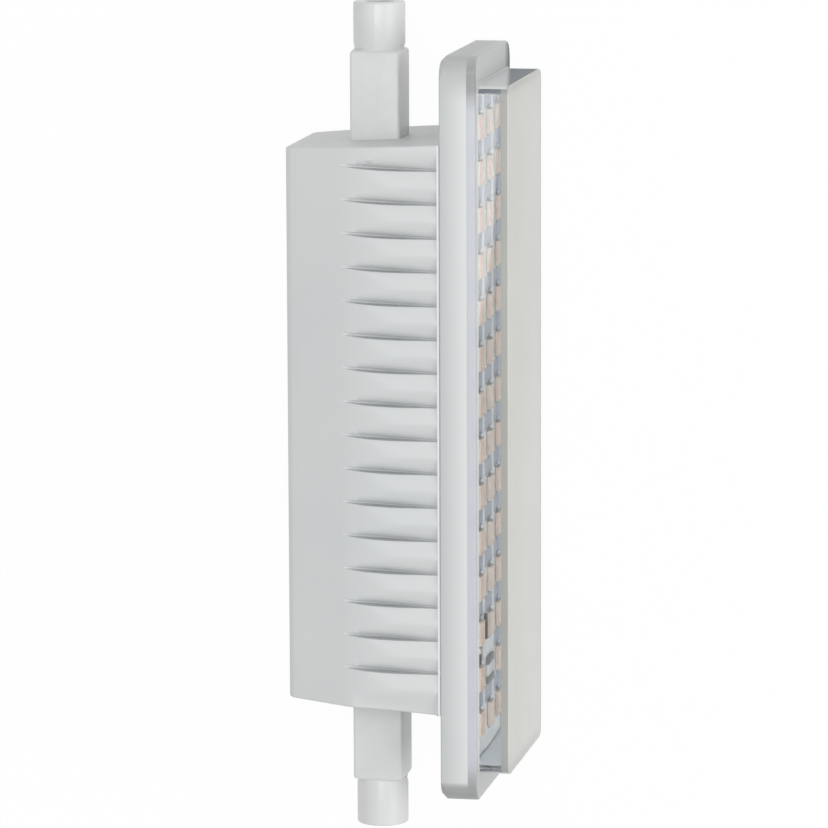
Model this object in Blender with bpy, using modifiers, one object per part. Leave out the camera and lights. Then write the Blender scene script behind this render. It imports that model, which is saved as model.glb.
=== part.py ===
"""Double-ended linear LED lamp, lying on its side.

Metres. +Y runs along the lamp, +X points out of the clear cover and +Z is up.
The origin is the middle of the footprint, on the surface that the lamp lies on.
"""

import math

import bmesh
import bpy
from mathutils import Matrix, Vector

# Clearances
FIT_GAP = 0.0003
SOLDER_GAP = 0.0001
WELD_DISTANCE = 0.000002

# End caps and contacts, along the lamp's axis
LAMP_LENGTH = 0.1176
CONTACT_SPAN = 0.1142
CAP_DIAMETER = 0.0073
CAP_LENGTH = 0.0067
CAP_EDGE_ROUND = 0.0005
CAP_ROOT = 0.0008
NECK_WIDTH = 0.0071
NECK_HEIGHT = 0.0076
NECK_EDGE_ROUND = 0.0004
COLLAR_MARGIN = 0.0011
COLLAR_LENGTH = 0.0026
RECESS_DIAMETER = 0.0042
STEM_DIAMETER = 0.0014
BUTTON_DIAMETER = 0.0034
BUTTON_THICKNESS = 0.0010
BUTTON_CROWN = 0.0002
STEM_TAIL = 0.0014

# Housing: depths are measured from the lamp's axis towards the cover
LAMP_WIDTH = 0.0276
HOUSING_LENGTH = 0.0804
HOUSING_REAR = 0.0116
HOUSING_FRONT = 0.0107
HOUSING_WALL = 0.0016
HOUSING_EDGE_ROUND = 0.0003
REAR_TAPER = 0.0041
END_DRAFT = 0.0011
RIB_DEPTH = 0.0012
RIB_PITCH = 0.00472
RIB_END_MARGIN = 0.0030
RIB_ROW_RISE = 0.00125
RIB_CREST_DROP = 0.00275
RIB_LIP_DEPTH = 0.00020
RIB_SLOT_WIDTH = 0.00045
RIB_START_DEPTH = 0.00040
RIB_BLEND_REAR = 0.00265
RIB_BLEND_FRONT = 0.0060
BLEND_STEPS = 8

# Driver board on its posts, and what it carries
POST_HEIGHT = 0.0025
POST_DIAMETER = 0.0032
POST_END_INSET = 0.0040
POST_SIDE_INSET = 0.0026
DRIVER_END_MARGIN = 0.00215
DRIVER_SIDE_CLEARANCE = 0.0010
DRIVER_THICKNESS = 0.0016
PART_CLEARANCE = 0.00055
CAPACITOR_DIAMETER = 0.0080
CAPACITOR_LENGTH = 0.0150
CAPACITOR_EDGE_ROUND = 0.0004
INDUCTOR_SIZE = (0.0078, 0.0100, 0.0090)
INDUCTOR_EDGE_ROUND = 0.0004
RECTIFIER_SIZE = (0.0023, 0.0065, 0.0050)
CHIP_SIZE = (0.0016, 0.0049, 0.0039)
CHIP_EDGE_ROUND = 0.0002

# Wires
LEAD_DIAMETER = 0.0011
CONTACT_LEAD_REACH = 0.0035
LED_LEAD_SPACING = 0.0060
LED_LEAD_SETBACK = 0.0040
LED_LEAD_INSET = 0.00315
LEAD_STEPS = 12

# Head: frame, light board and clear cover
FRAME_THICKNESS = 0.00355
FRAME_END_GAP = 0.0025
FRAME_ROUND = 0.0022
FRAME_POCKET_DEPTH = 0.0015
BOARD_SEAT_DEPTH = 0.0007
BOARD_THICKNESS = 0.0010
COVER_LENGTH = 0.1048
COVER_WALL = 0.0009
COVER_FLANGE = 0.0013
COVER_ROUND = 0.0020
COVER_EDGE_ROUND = 0.00025
LEDGE_END = 0.0040
LEDGE_SIDE = 0.0005
WINDOW_HEIGHT = 0.0046
WINDOW_ROUND = 0.0014
WINDOW_WALL = 0.0012
ARC_STEPS = 5

# Light sources on the board
LED_ROWS = 14
LED_COLUMNS = 3
LED_END_MARGIN = 0.0029
LED_SIDE_MARGIN = 0.0028
LED_SIZE = (0.0007, 0.0035, 0.0028)
CONNECTOR_SIZE = (0.0013, 0.0038, 0.0050)
CONNECTOR_ROWS_FROM_END = 2

# How finely round shapes are cut
SHARP_ANGLE = math.radians(35)
NOSE_SIDES = 48
ROUND_SIDES = 32
BORE_SIDES = 24
SMALL_SIDES = 16

# Places worked out from the sizes above
HEAD_REAR = HOUSING_FRONT + FIT_GAP
FRAME_FRONT = HEAD_REAR + FRAME_THICKNESS
FLANGE_REAR = FRAME_FRONT + FIT_GAP
FLANGE_FRONT = FLANGE_REAR + COVER_FLANGE
WINDOW_FRONT = FLANGE_FRONT + WINDOW_HEIGHT
BOARD_REAR = FRAME_FRONT - BOARD_SEAT_DEPTH + SOLDER_GAP
BOARD_FRONT = BOARD_REAR + BOARD_THICKNESS
CAVITY_REAR = -HOUSING_REAR + HOUSING_WALL
DRIVER_REAR = CAVITY_REAR + POST_HEIGHT + FIT_GAP
DRIVER_FRONT = DRIVER_REAR + DRIVER_THICKNESS
RIB_FLOOR_HALF = LAMP_WIDTH / 2 - RIB_DEPTH
RIB_COUNT = 1 + int((HOUSING_LENGTH - 2 * RIB_END_MARGIN - RIB_SLOT_WIDTH) / RIB_PITCH)
REAR_HALF_WIDTH = LAMP_WIDTH / 2 - REAR_TAPER
SIDE_SLOPE = (RIB_FLOOR_HALF - REAR_HALF_WIDTH) / (HOUSING_REAR - RIB_BLEND_REAR)
SIDE_WALL = HOUSING_WALL * math.hypot(1.0, SIDE_SLOPE)
INNER_REAR_HALF = REAR_HALF_WIDTH - SIDE_WALL
CAVITY_HALF_LENGTH = HOUSING_LENGTH / 2 - END_DRAFT / 2 - HOUSING_WALL
CAVITY_HALF_WIDTH = RIB_FLOOR_HALF - SIDE_WALL
WINDOW_LENGTH = COVER_LENGTH - 2 * LEDGE_END
WINDOW_WIDTH = LAMP_WIDTH - 2 * LEDGE_SIDE
BOARD_LENGTH = WINDOW_LENGTH - 2 * WINDOW_WALL - 2 * FIT_GAP
BOARD_WIDTH = WINDOW_WIDTH - 2 * WINDOW_WALL - 2 * FIT_GAP
FRAME_LENGTH = COVER_LENGTH - 2 * COVER_WALL - 2 * FRAME_END_GAP
FRAME_WIDTH = LAMP_WIDTH - 2 * COVER_WALL - 2 * FIT_GAP
LED_PITCH_LENGTH = (BOARD_LENGTH - 2 * LED_END_MARGIN - LED_SIZE[1]) / (LED_ROWS - 1)
LED_PITCH_WIDTH = (BOARD_WIDTH - 2 * LED_SIDE_MARGIN - LED_SIZE[2]) / (LED_COLUMNS - 1)

# Where the wires start and end along the lamp, and the driver board between them
COLLAR_OUTER = CAVITY_HALF_LENGTH - FIT_GAP
CONTACT_TAIL = COLLAR_OUTER - COLLAR_LENGTH - STEM_TAIL
LEAD_LANDING = CONTACT_TAIL - CONTACT_LEAD_REACH
LED_LEAD_PLACE = LED_LEAD_INSET - CAVITY_HALF_LENGTH
DRIVER_LENGTH = 2 * (LEAD_LANDING + DRIVER_END_MARGIN)
DRIVER_WIDTH = 2 * (INNER_REAR_HALF + SIDE_SLOPE * (DRIVER_REAR + HOUSING_REAR) - DRIVER_SIDE_CLEARANCE)

# The frame of the part: the axis lies at AXIS in the world
AXIS = Vector(((HOUSING_REAR - WINDOW_FRONT) / 2, 0.0, LAMP_WIDTH / 2))

PARTS = "linear_led_lamp"
CUTTERS = "cutters"


def clear_scene():
    """Remove the objects that a new file starts with."""
    for thing in list(bpy.data.objects):
        bpy.data.objects.remove(thing)


def make_collection(name):
    """Make a collection under the scene."""
    collection = bpy.data.collections.new(name)
    bpy.context.scene.collection.children.link(collection)
    return collection


def make_material(name, color, roughness, metallic=0.0, transmission=0.0):
    """Make a Principled material with one colour."""
    material = bpy.data.materials.new(name)
    material.use_nodes = True
    shader = material.node_tree.nodes["Principled BSDF"]
    shader.inputs["Base Color"].default_value = (*color, 1.0)
    shader.inputs["Roughness"].default_value = roughness
    shader.inputs["Metallic"].default_value = metallic
    shader.inputs["Transmission Weight"].default_value = transmission
    return material


def add_object(name, mesh, collection, material=None):
    """Link a mesh as an object of one collection."""
    thing = bpy.data.objects.new(name, mesh)
    collection.objects.link(thing)
    if material:
        mesh.materials.append(material)
    if collection.name == CUTTERS:
        thing.hide_render = True
        thing.display_type = "WIRE"
    return thing


def box_mesh(name, low, high):
    """A box between two corners, given from the lamp's axis."""
    low = Vector(low) + AXIS
    high = Vector(high) + AXIS
    mesh = bmesh.new()
    bmesh.ops.create_cube(mesh, size=1.0)
    bmesh.ops.scale(mesh, vec=high - low, verts=mesh.verts)
    bmesh.ops.translate(mesh, vec=(low + high) / 2, verts=mesh.verts)
    data = bpy.data.meshes.new(name)
    mesh.to_mesh(data)
    mesh.free()
    return data


def cylinder_mesh(name, diameter, start, end, segments):
    """A cylinder between two points, given from the lamp's axis."""
    start = Vector(start) + AXIS
    end = Vector(end) + AXIS
    run = end - start
    turn = Vector((0, 0, 1)).rotation_difference(run).to_matrix().to_4x4()
    mesh = bmesh.new()
    bmesh.ops.create_cone(mesh, cap_ends=True, segments=segments, radius1=diameter / 2,
                          radius2=diameter / 2, depth=run.length,
                          matrix=Matrix.Translation((start + end) / 2) @ turn)
    data = bpy.data.meshes.new(name)
    mesh.to_mesh(data)
    mesh.free()
    return data


def curve_mesh(name, curve, matrix):
    """Turn a curve into a closed mesh placed by a matrix."""
    guide = bpy.data.objects.new(name + "_curve", curve)
    bpy.context.scene.collection.objects.link(guide)
    depsgraph = bpy.context.evaluated_depsgraph_get()
    data = bpy.data.meshes.new_from_object(guide.evaluated_get(depsgraph))
    bpy.data.objects.remove(guide)
    mesh = bmesh.new()
    mesh.from_mesh(data)
    bmesh.ops.remove_doubles(mesh, verts=mesh.verts, dist=WELD_DISTANCE)
    bmesh.ops.recalc_face_normals(mesh, faces=mesh.faces)
    bmesh.ops.transform(mesh, matrix=matrix, verts=mesh.verts)
    mesh.to_mesh(data)
    mesh.free()
    data.name = name
    return data


def outline_mesh(name, points, start, end, axis):
    """Extrude a flat outline from start to end along X or Y, from the lamp's axis.

    The outline's points are (y, z) along X, or (x, z) along Y.
    """
    curve = bpy.data.curves.new(name, "CURVE")
    curve.dimensions = "2D"
    curve.fill_mode = "BOTH"
    curve.extrude = (end - start) / 2
    spline = curve.splines.new("POLY")
    spline.points.add(len(points) - 1)
    for point, place in zip(spline.points, points):
        point.co = (place[0], place[1], 0.0, 1.0)
    spline.use_cyclic_u = True
    middle = (start + end) / 2
    if axis == "X":
        turn = Matrix(((0, 0, 1, 0), (1, 0, 0, 0), (0, 1, 0, 0), (0, 0, 0, 1)))
        shift = Vector((middle, 0, 0))
    else:
        turn = Matrix(((1, 0, 0, 0), (0, 0, -1, 0), (0, 1, 0, 0), (0, 0, 0, 1)))
        shift = Vector((0, middle, 0))
    return curve_mesh(name, curve, Matrix.Translation(AXIS + shift) @ turn)


def rounded_rectangle(length, width, radius):
    """Points of a rectangle with round corners, about the middle."""
    points = []
    for quarter, (side_y, side_z) in enumerate(((1, 1), (-1, 1), (-1, -1), (1, -1))):
        centre_y = side_y * (length / 2 - radius)
        centre_z = side_z * (width / 2 - radius)
        for step in range(ARC_STEPS + 1):
            angle = math.pi / 2 * (quarter + step / ARC_STEPS)
            points.append((centre_y + radius * math.cos(angle), centre_z + radius * math.sin(angle)))
    return points


def plate_mesh(name, start, end, length, width, radius):
    """A plate facing +X with round corners."""
    return outline_mesh(name, rounded_rectangle(length, width, radius), start, end, "X")


def add_boolean(thing, other, operation):
    """Cut or join another object with the exact solver."""
    modifier = thing.modifiers.new(other.name, "BOOLEAN")
    modifier.operation = operation
    modifier.object = other
    modifier.solver = "EXACT"


def add_bevel(thing, width, segments=2):
    """Round an object's sharp edges."""
    modifier = thing.modifiers.new("edge_round", "BEVEL")
    modifier.width = width
    modifier.segments = segments
    modifier.limit_method = "ANGLE"
    modifier.angle_limit = SHARP_ANGLE


def shade_round(thing):
    """Shade curved faces smooth and keep the edges sharp."""
    thing.data.shade_smooth()
    thing.data.set_sharp_from_angle(angle=SHARP_ANGLE)


def side_profile():
    """The housing's upper side as (x, z) points, from its rear to its front."""
    rise = LAMP_WIDTH / 2 - RIB_FLOOR_HALF
    run = RIB_BLEND_FRONT + RIB_BLEND_REAR
    radius = (run * run + rise * rise) / (2 * rise)
    sweep = math.asin(run / radius)
    points = [(-HOUSING_REAR, REAR_HALF_WIDTH)]
    for step in range(BLEND_STEPS + 1):
        angle = sweep * (1 - step / BLEND_STEPS)
        x = RIB_BLEND_FRONT - radius * math.sin(angle)
        z = LAMP_WIDTH / 2 - radius + radius * math.cos(angle)
        points.append((x, z))
    points.append((HOUSING_FRONT, LAMP_WIDTH / 2))
    return points


def housing_blank():
    """The housing's outside before it is cut, with its drafted ends."""
    upper = side_profile()
    lower = [(x, -z) for x, z in reversed(upper)]
    half = HOUSING_LENGTH / 2
    data = outline_mesh("housing", upper + lower, -half, half, "Y")
    depth = HOUSING_FRONT + HOUSING_REAR
    for vertex in data.vertices:
        share = (HOUSING_FRONT - (vertex.co.x - AXIS.x)) / depth
        vertex.co.y -= math.copysign(END_DRAFT * share, vertex.co.y)
    return data


def rib_outline(side):
    """The slots and sloping slats of one side, as (y, z) points."""
    face = LAMP_WIDTH / 2
    end = HOUSING_LENGTH / 2 + RIB_PITCH
    outside = face + RIB_DEPTH
    top_groove = RIB_PITCH * (RIB_COUNT - 1) / 2 + RIB_SLOT_WIDTH / 2 + RIB_ROW_RISE
    lip_slope = RIB_LIP_DEPTH / (RIB_PITCH - RIB_CREST_DROP)
    points = [(end, outside), (end, face - RIB_DEPTH / 2)]
    points.append((top_groove + RIB_PITCH - RIB_CREST_DROP, face))
    for tooth in range(RIB_COUNT):
        groove = top_groove - RIB_PITCH * tooth
        points.append((groove, face - RIB_LIP_DEPTH))
        points.append((groove, face - RIB_DEPTH))
        points.append((groove - RIB_SLOT_WIDTH, face - RIB_DEPTH))
        points.append((groove - RIB_SLOT_WIDTH, face - RIB_START_DEPTH))
        points.append((groove - RIB_CREST_DROP, face))
    last_crest = points[-1][0]
    points.append((-end, face - (end + last_crest) * lip_slope))
    points.append((-end, outside))
    return [(y, side * z) for y, z in points]


def cavity_mesh():
    """The room inside the housing, tapering to the rear as its sides do."""
    upper = [(CAVITY_REAR, INNER_REAR_HALF + SIDE_SLOPE * HOUSING_WALL),
             (-RIB_BLEND_REAR, CAVITY_HALF_WIDTH), (HOUSING_FRONT + HOUSING_WALL, CAVITY_HALF_WIDTH)]
    lower = [(x, -z) for x, z in reversed(upper)]
    return outline_mesh("housing_cavity", upper + lower, -CAVITY_HALF_LENGTH, CAVITY_HALF_LENGTH, "Y")


def build_housing(parts, cutters, material):
    """The ribbed rear housing with its cavity, neck holes and board posts."""
    housing = add_object("housing", housing_blank(), parts, material)
    shade_round(housing)
    add_bevel(housing, HOUSING_EDGE_ROUND)
    for side, label in ((1, "upper"), (-1, "lower")):
        data = outline_mesh("rib_cut_" + label, rib_outline(side), -RIB_BLEND_REAR - FIT_GAP,
                            HOUSING_FRONT + RIB_DEPTH, "X")
        add_boolean(housing, add_object(data.name, data, cutters), "DIFFERENCE")
    add_boolean(housing, add_object("housing_cavity", cavity_mesh(), cutters), "DIFFERENCE")
    half_width = NECK_WIDTH / 2 + FIT_GAP
    half_height = NECK_HEIGHT / 2 + FIT_GAP
    necks = box_mesh("neck_holes", (-half_width, -HOUSING_LENGTH, -half_height),
                     (half_width, HOUSING_LENGTH, half_height))
    add_boolean(housing, add_object(necks.name, necks, cutters), "DIFFERENCE")
    for along in (-1, 1):
        for across in (-1, 1):
            y = along * (DRIVER_LENGTH / 2 - POST_END_INSET)
            z = across * (DRIVER_WIDTH / 2 - POST_SIDE_INSET)
            post = cylinder_mesh("board_post", POST_DIAMETER,
                                 (CAVITY_REAR - HOUSING_WALL / 2, y, z),
                                 (CAVITY_REAR + POST_HEIGHT, y, z), SMALL_SIDES)
            add_boolean(housing, add_object("board_post", post, cutters), "UNION")


def build_end_cap(side, label, parts, cutters, material):
    """One insulating end cap: round nose, square neck and the collar inside the wall."""
    collar_inner = COLLAR_OUTER - COLLAR_LENGTH
    neck_end = LAMP_LENGTH / 2 - CAP_LENGTH
    overlap = FIT_GAP
    neck = box_mesh("end_cap_" + label,
                    (-NECK_WIDTH / 2, min(side * collar_inner, side * neck_end), -NECK_HEIGHT / 2),
                    (NECK_WIDTH / 2, max(side * collar_inner, side * neck_end), NECK_HEIGHT / 2))
    cap = add_object("end_cap_" + label, neck, parts, material)
    add_bevel(cap, NECK_EDGE_ROUND)
    half_width = NECK_WIDTH / 2 + COLLAR_MARGIN
    half_height = NECK_HEIGHT / 2 + COLLAR_MARGIN
    collar = box_mesh("collar_" + label,
                      (-half_width, min(side * (collar_inner - overlap), side * COLLAR_OUTER), -half_height),
                      (half_width, max(side * (collar_inner - overlap), side * COLLAR_OUTER), half_height))
    add_boolean(cap, add_object(collar.name, collar, cutters), "UNION")
    nose = cylinder_mesh("nose_" + label, CAP_DIAMETER, (0, side * (neck_end - CAP_ROOT), 0),
                         (0, side * LAMP_LENGTH / 2, 0), NOSE_SIDES)
    nose = add_object(nose.name, nose, cutters)
    add_bevel(nose, CAP_EDGE_ROUND)
    add_boolean(cap, nose, "UNION")
    recess_floor = CONTACT_SPAN / 2 - BUTTON_THICKNESS - FIT_GAP
    recess = cylinder_mesh("recess_" + label, RECESS_DIAMETER, (0, side * recess_floor, 0),
                           (0, side * LAMP_LENGTH, 0), ROUND_SIDES)
    add_boolean(cap, add_object(recess.name, recess, cutters), "DIFFERENCE")
    bore = cylinder_mesh("stem_bore_" + label, STEM_DIAMETER + 2 * FIT_GAP, (0, 0, 0),
                         (0, side * LAMP_LENGTH, 0), BORE_SIDES)
    add_boolean(cap, add_object(bore.name, bore, cutters), "DIFFERENCE")


def build_contact(side, label, parts, material):
    """One turned contact: a crowned button in the cap's recess and its stem."""
    face = CONTACT_SPAN / 2
    profile = [(0.0, face), (BUTTON_DIAMETER / 4, face - BUTTON_CROWN / 4),
               (BUTTON_DIAMETER / 2, face - BUTTON_CROWN), (BUTTON_DIAMETER / 2, face - BUTTON_THICKNESS),
               (STEM_DIAMETER / 2, face - BUTTON_THICKNESS), (STEM_DIAMETER / 2, CONTACT_TAIL),
               (0.0, CONTACT_TAIL)]
    data = bpy.data.meshes.new("contact_" + label)
    mesh = bmesh.new()
    points = [mesh.verts.new((radius, 0.0, height)) for radius, height in profile]
    for first, second in zip(points, points[1:]):
        mesh.edges.new((first, second))
    mesh.to_mesh(data)
    mesh.free()
    contact = add_object("contact_" + label, data, parts, material)
    screw = contact.modifiers.new("turned", "SCREW")
    screw.axis = "Z"
    screw.steps = BORE_SIDES
    screw.render_steps = BORE_SIDES
    screw.use_merge_vertices = True
    screw.merge_threshold = WELD_DISTANCE
    contact.location = AXIS
    contact.rotation_euler = (-side * math.pi / 2, 0.0, 0.0)


def smooth_run(start, start_pull, end_pull, end):
    """Points along one smooth curve, pulled out of its two ends."""
    points = []
    for step in range(LEAD_STEPS + 1):
        t = step / LEAD_STEPS
        s = 1 - t
        point = (s ** 3 * start + 3 * s * s * t * start_pull
                 + 3 * s * t * t * end_pull + t ** 3 * end)
        points.append(point)
    return points


def build_wire(name, points, parts, material):
    """A sleeved wire along points given from the lamp's axis."""
    curve = bpy.data.curves.new(name, "CURVE")
    curve.dimensions = "3D"
    curve.bevel_depth = LEAD_DIAMETER / 2
    curve.bevel_resolution = 2
    curve.use_fill_caps = True
    spline = curve.splines.new("POLY")
    spline.points.add(len(points) - 1)
    for point, place in zip(spline.points, points):
        point.co = (*place, 1.0)
    data = curve_mesh(name, curve, Matrix.Translation(AXIS))
    shade_round(add_object(name, data, parts, material))


def build_contact_lead(side, label, parts, material):
    """The wire from a contact's tail to the driver board."""
    start = Vector((0.0, side * (CONTACT_TAIL - FIT_GAP), 0.0))
    end = Vector((DRIVER_FRONT + FIT_GAP, side * LEAD_LANDING, 0.0))
    pull = CONTACT_LEAD_REACH
    points = smooth_run(start, start + Vector((0.0, -side * pull, 0.0)), end + Vector((pull / 2, 0, 0)), end)
    build_wire("contact_lead_" + label, points, parts, material)


def build_led_lead(side, label, parts, material):
    """The wire from the driver board to the back of the light board."""
    z = side * LED_LEAD_SPACING / 2
    start = Vector((DRIVER_FRONT + FIT_GAP, LED_LEAD_PLACE + LED_LEAD_SETBACK, z))
    end = Vector((BOARD_REAR - FIT_GAP, LED_LEAD_PLACE, z))
    pull = Vector(((end.x - start.x) / 2, 0.0, 0.0))
    straight = Vector((FRAME_THICKNESS, 0.0, 0.0))
    points = smooth_run(start, start + pull / 2, end - straight - pull, end - straight)
    build_wire("led_lead_" + label, points + [end], parts, material)


def block_mesh(name, base, size, y, z):
    """A block standing on a board's front, whose depth is base."""
    low = base + SOLDER_GAP
    return box_mesh(name, (low, y - size[1] / 2, z - size[2] / 2),
                    (low + size[0], y + size[1] / 2, z + size[2] / 2))


def driver_part(name, size, place, parts, material, edge):
    """A block with rounded edges standing on the driver board."""
    data = block_mesh(name, DRIVER_FRONT, size, place, 0.0)
    add_bevel(add_object(name, data, parts, material), edge)


def driver_places(lengths):
    """Middles of the parts on the driver board, spread evenly between the contact leads."""
    reach = LEAD_LANDING - LEAD_DIAMETER / 2 - PART_CLEARANCE
    gap = (2 * reach - sum(lengths)) / (len(lengths) - 1)
    places = []
    top = reach
    for length in lengths:
        places.append(top - length / 2)
        top -= length + gap
    return places


def build_driver(parts, materials):
    """The driver board and its main components."""
    board = box_mesh("driver_board", (DRIVER_REAR, -DRIVER_LENGTH / 2, -DRIVER_WIDTH / 2),
                     (DRIVER_FRONT, DRIVER_LENGTH / 2, DRIVER_WIDTH / 2))
    add_object("driver_board", board, parts, materials["driver"])
    rectifier, capacitor, inductor, chip = driver_places(
        (RECTIFIER_SIZE[1], CAPACITOR_LENGTH, INDUCTOR_SIZE[1], CHIP_SIZE[1]))
    x = DRIVER_FRONT + SOLDER_GAP + CAPACITOR_DIAMETER / 2
    can = cylinder_mesh("electrolytic_capacitor", CAPACITOR_DIAMETER,
                        (x, capacitor - CAPACITOR_LENGTH / 2, 0),
                        (x, capacitor + CAPACITOR_LENGTH / 2, 0), ROUND_SIDES)
    can = add_object("electrolytic_capacitor", can, parts, materials["capacitor"])
    shade_round(can)
    add_bevel(can, CAPACITOR_EDGE_ROUND)
    driver_part("inductor", INDUCTOR_SIZE, inductor, parts, materials["ferrite"], INDUCTOR_EDGE_ROUND)
    driver_part("bridge_rectifier", RECTIFIER_SIZE, rectifier, parts, materials["chip"], CHIP_EDGE_ROUND)
    driver_part("driver_chip", CHIP_SIZE, chip, parts, materials["chip"], CHIP_EDGE_ROUND)


def build_head_frame(parts, cutters, material):
    """The plate that closes the housing and seats the light board and the cover."""
    data = plate_mesh("head_frame", HEAD_REAR, FRAME_FRONT, FRAME_LENGTH, FRAME_WIDTH, FRAME_ROUND)
    frame = add_object("head_frame", data, parts, material)
    shade_round(frame)
    pocket = box_mesh("frame_pocket", (HEAD_REAR - FRAME_THICKNESS, -CAVITY_HALF_LENGTH, -CAVITY_HALF_WIDTH),
                      (HEAD_REAR + FRAME_POCKET_DEPTH, CAVITY_HALF_LENGTH, CAVITY_HALF_WIDTH))
    add_boolean(frame, add_object(pocket.name, pocket, cutters), "DIFFERENCE")
    half_length = BOARD_LENGTH / 2 + FIT_GAP
    half_width = BOARD_WIDTH / 2 + FIT_GAP
    seat = box_mesh("board_seat", (FRAME_FRONT - BOARD_SEAT_DEPTH, -half_length, -half_width),
                    (FRAME_FRONT + FRAME_THICKNESS, half_length, half_width))
    add_boolean(frame, add_object(seat.name, seat, cutters), "DIFFERENCE")
    for side in (-1, 1):
        z = side * LED_LEAD_SPACING / 2
        hole = cylinder_mesh("lead_hole", LEAD_DIAMETER + 2 * FIT_GAP, (HEAD_REAR, LED_LEAD_PLACE, z),
                             (FLANGE_FRONT, LED_LEAD_PLACE, z), SMALL_SIDES)
        add_boolean(frame, add_object("lead_hole", hole, cutters), "DIFFERENCE")


def build_light_board(parts, materials):
    """The light board, its rows of light sources and its connector."""
    board = box_mesh("led_board", (BOARD_REAR, -BOARD_LENGTH / 2, -BOARD_WIDTH / 2),
                     (BOARD_FRONT, BOARD_LENGTH / 2, BOARD_WIDTH / 2))
    add_object("led_board", board, parts, materials["board"])
    number = 0
    for row in range(LED_ROWS):
        y = LED_PITCH_LENGTH * ((LED_ROWS - 1) / 2 - row)
        for column in range(LED_COLUMNS):
            z = LED_PITCH_WIDTH * (column - (LED_COLUMNS - 1) / 2)
            if row == LED_ROWS - CONNECTOR_ROWS_FROM_END and column == LED_COLUMNS // 2:
                data = block_mesh("board_connector", BOARD_FRONT, CONNECTOR_SIZE, y, z)
                add_object(data.name, data, parts, materials["connector"])
                continue
            number += 1
            data = block_mesh("led_%02d" % number, BOARD_FRONT, LED_SIZE, y, z)
            add_object(data.name, data, parts, materials["led"])


def build_cover(parts, cutters, material):
    """The clear cover: a skirt around the frame, a flange on it and the raised window."""
    data = plate_mesh("clear_cover", HEAD_REAR, FLANGE_FRONT, COVER_LENGTH, LAMP_WIDTH, COVER_ROUND)
    cover = add_object("clear_cover", data, parts, material)
    shade_round(cover)
    add_bevel(cover, COVER_EDGE_ROUND)
    room = plate_mesh("skirt_room", HEAD_REAR - FRAME_THICKNESS, FLANGE_REAR, COVER_LENGTH - 2 * COVER_WALL,
                      LAMP_WIDTH - 2 * COVER_WALL, COVER_ROUND - COVER_WALL)
    add_boolean(cover, add_object(room.name, room, cutters), "DIFFERENCE")
    window = plate_mesh("window_block", FLANGE_FRONT - COVER_FLANGE / 2, WINDOW_FRONT, WINDOW_LENGTH,
                        WINDOW_WIDTH, WINDOW_ROUND)
    window = add_object(window.name, window, cutters)
    add_bevel(window, COVER_EDGE_ROUND)
    add_boolean(cover, window, "UNION")
    hollow = plate_mesh("window_hollow", FLANGE_REAR - COVER_FLANGE, WINDOW_FRONT - WINDOW_WALL,
                        WINDOW_LENGTH - 2 * WINDOW_WALL, WINDOW_WIDTH - 2 * WINDOW_WALL,
                        max(WINDOW_ROUND - WINDOW_WALL, FIT_GAP))
    add_boolean(cover, add_object(hollow.name, hollow, cutters), "DIFFERENCE")


def make_materials():
    """One material for each kind of surface."""
    return {
        "housing": make_material("housing_plastic", (0.78, 0.79, 0.78), 0.42),
        "cap": make_material("cap_ceramic", (0.84, 0.85, 0.84), 0.35),
        "contact": make_material("contact_metal", (0.72, 0.70, 0.66), 0.25, metallic=1.0),
        "wire": make_material("wire_sleeve", (0.75, 0.12, 0.08), 0.45),
        "driver": make_material("driver_board", (0.10, 0.26, 0.14), 0.50),
        "capacitor": make_material("capacitor_sleeve", (0.04, 0.05, 0.08), 0.35),
        "ferrite": make_material("ferrite", (0.09, 0.09, 0.09), 0.60),
        "chip": make_material("chip_resin", (0.03, 0.03, 0.03), 0.45),
        "frame": make_material("frame_paint", (0.82, 0.83, 0.82), 0.40),
        "board": make_material("light_board", (0.62, 0.66, 0.72), 0.30),
        "led": make_material("led_phosphor", (0.86, 0.62, 0.28), 0.40),
        "connector": make_material("connector_resin", (0.12, 0.13, 0.13), 0.45),
        "cover": make_material("clear_polycarbonate", (0.90, 0.92, 0.91), 0.08, transmission=1.0),
    }


def main():
    clear_scene()
    parts = make_collection(PARTS)
    cutters = make_collection(CUTTERS)
    materials = make_materials()
    build_housing(parts, cutters, materials["housing"])
    for side, label in ((1, "upper"), (-1, "lower")):
        build_end_cap(side, label, parts, cutters, materials["cap"])
        build_contact(side, label, parts, materials["contact"])
        build_contact_lead(side, label, parts, materials["wire"])
    for side, label in ((1, "positive"), (-1, "negative")):
        build_led_lead(side, label, parts, materials["wire"])
    build_driver(parts, materials)
    build_head_frame(parts, cutters, materials["frame"])
    build_light_board(parts, materials)
    build_cover(parts, cutters, materials["cover"])


main()
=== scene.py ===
import math

import bmesh
import bpy
from mathutils import Matrix, Vector


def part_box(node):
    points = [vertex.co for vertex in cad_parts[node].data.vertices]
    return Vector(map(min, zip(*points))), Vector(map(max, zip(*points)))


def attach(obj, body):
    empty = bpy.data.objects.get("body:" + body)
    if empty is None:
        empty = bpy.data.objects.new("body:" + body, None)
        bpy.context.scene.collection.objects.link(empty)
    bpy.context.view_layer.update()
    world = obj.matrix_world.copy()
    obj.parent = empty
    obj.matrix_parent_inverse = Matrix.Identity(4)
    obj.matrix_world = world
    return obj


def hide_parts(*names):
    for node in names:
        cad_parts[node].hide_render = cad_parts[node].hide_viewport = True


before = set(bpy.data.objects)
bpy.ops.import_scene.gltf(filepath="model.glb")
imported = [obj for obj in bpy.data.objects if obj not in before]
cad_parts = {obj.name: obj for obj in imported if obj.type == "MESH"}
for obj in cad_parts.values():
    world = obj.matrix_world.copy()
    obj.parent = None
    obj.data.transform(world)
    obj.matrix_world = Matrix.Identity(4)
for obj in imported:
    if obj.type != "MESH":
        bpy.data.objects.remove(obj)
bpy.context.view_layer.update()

MM = 0.001

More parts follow.
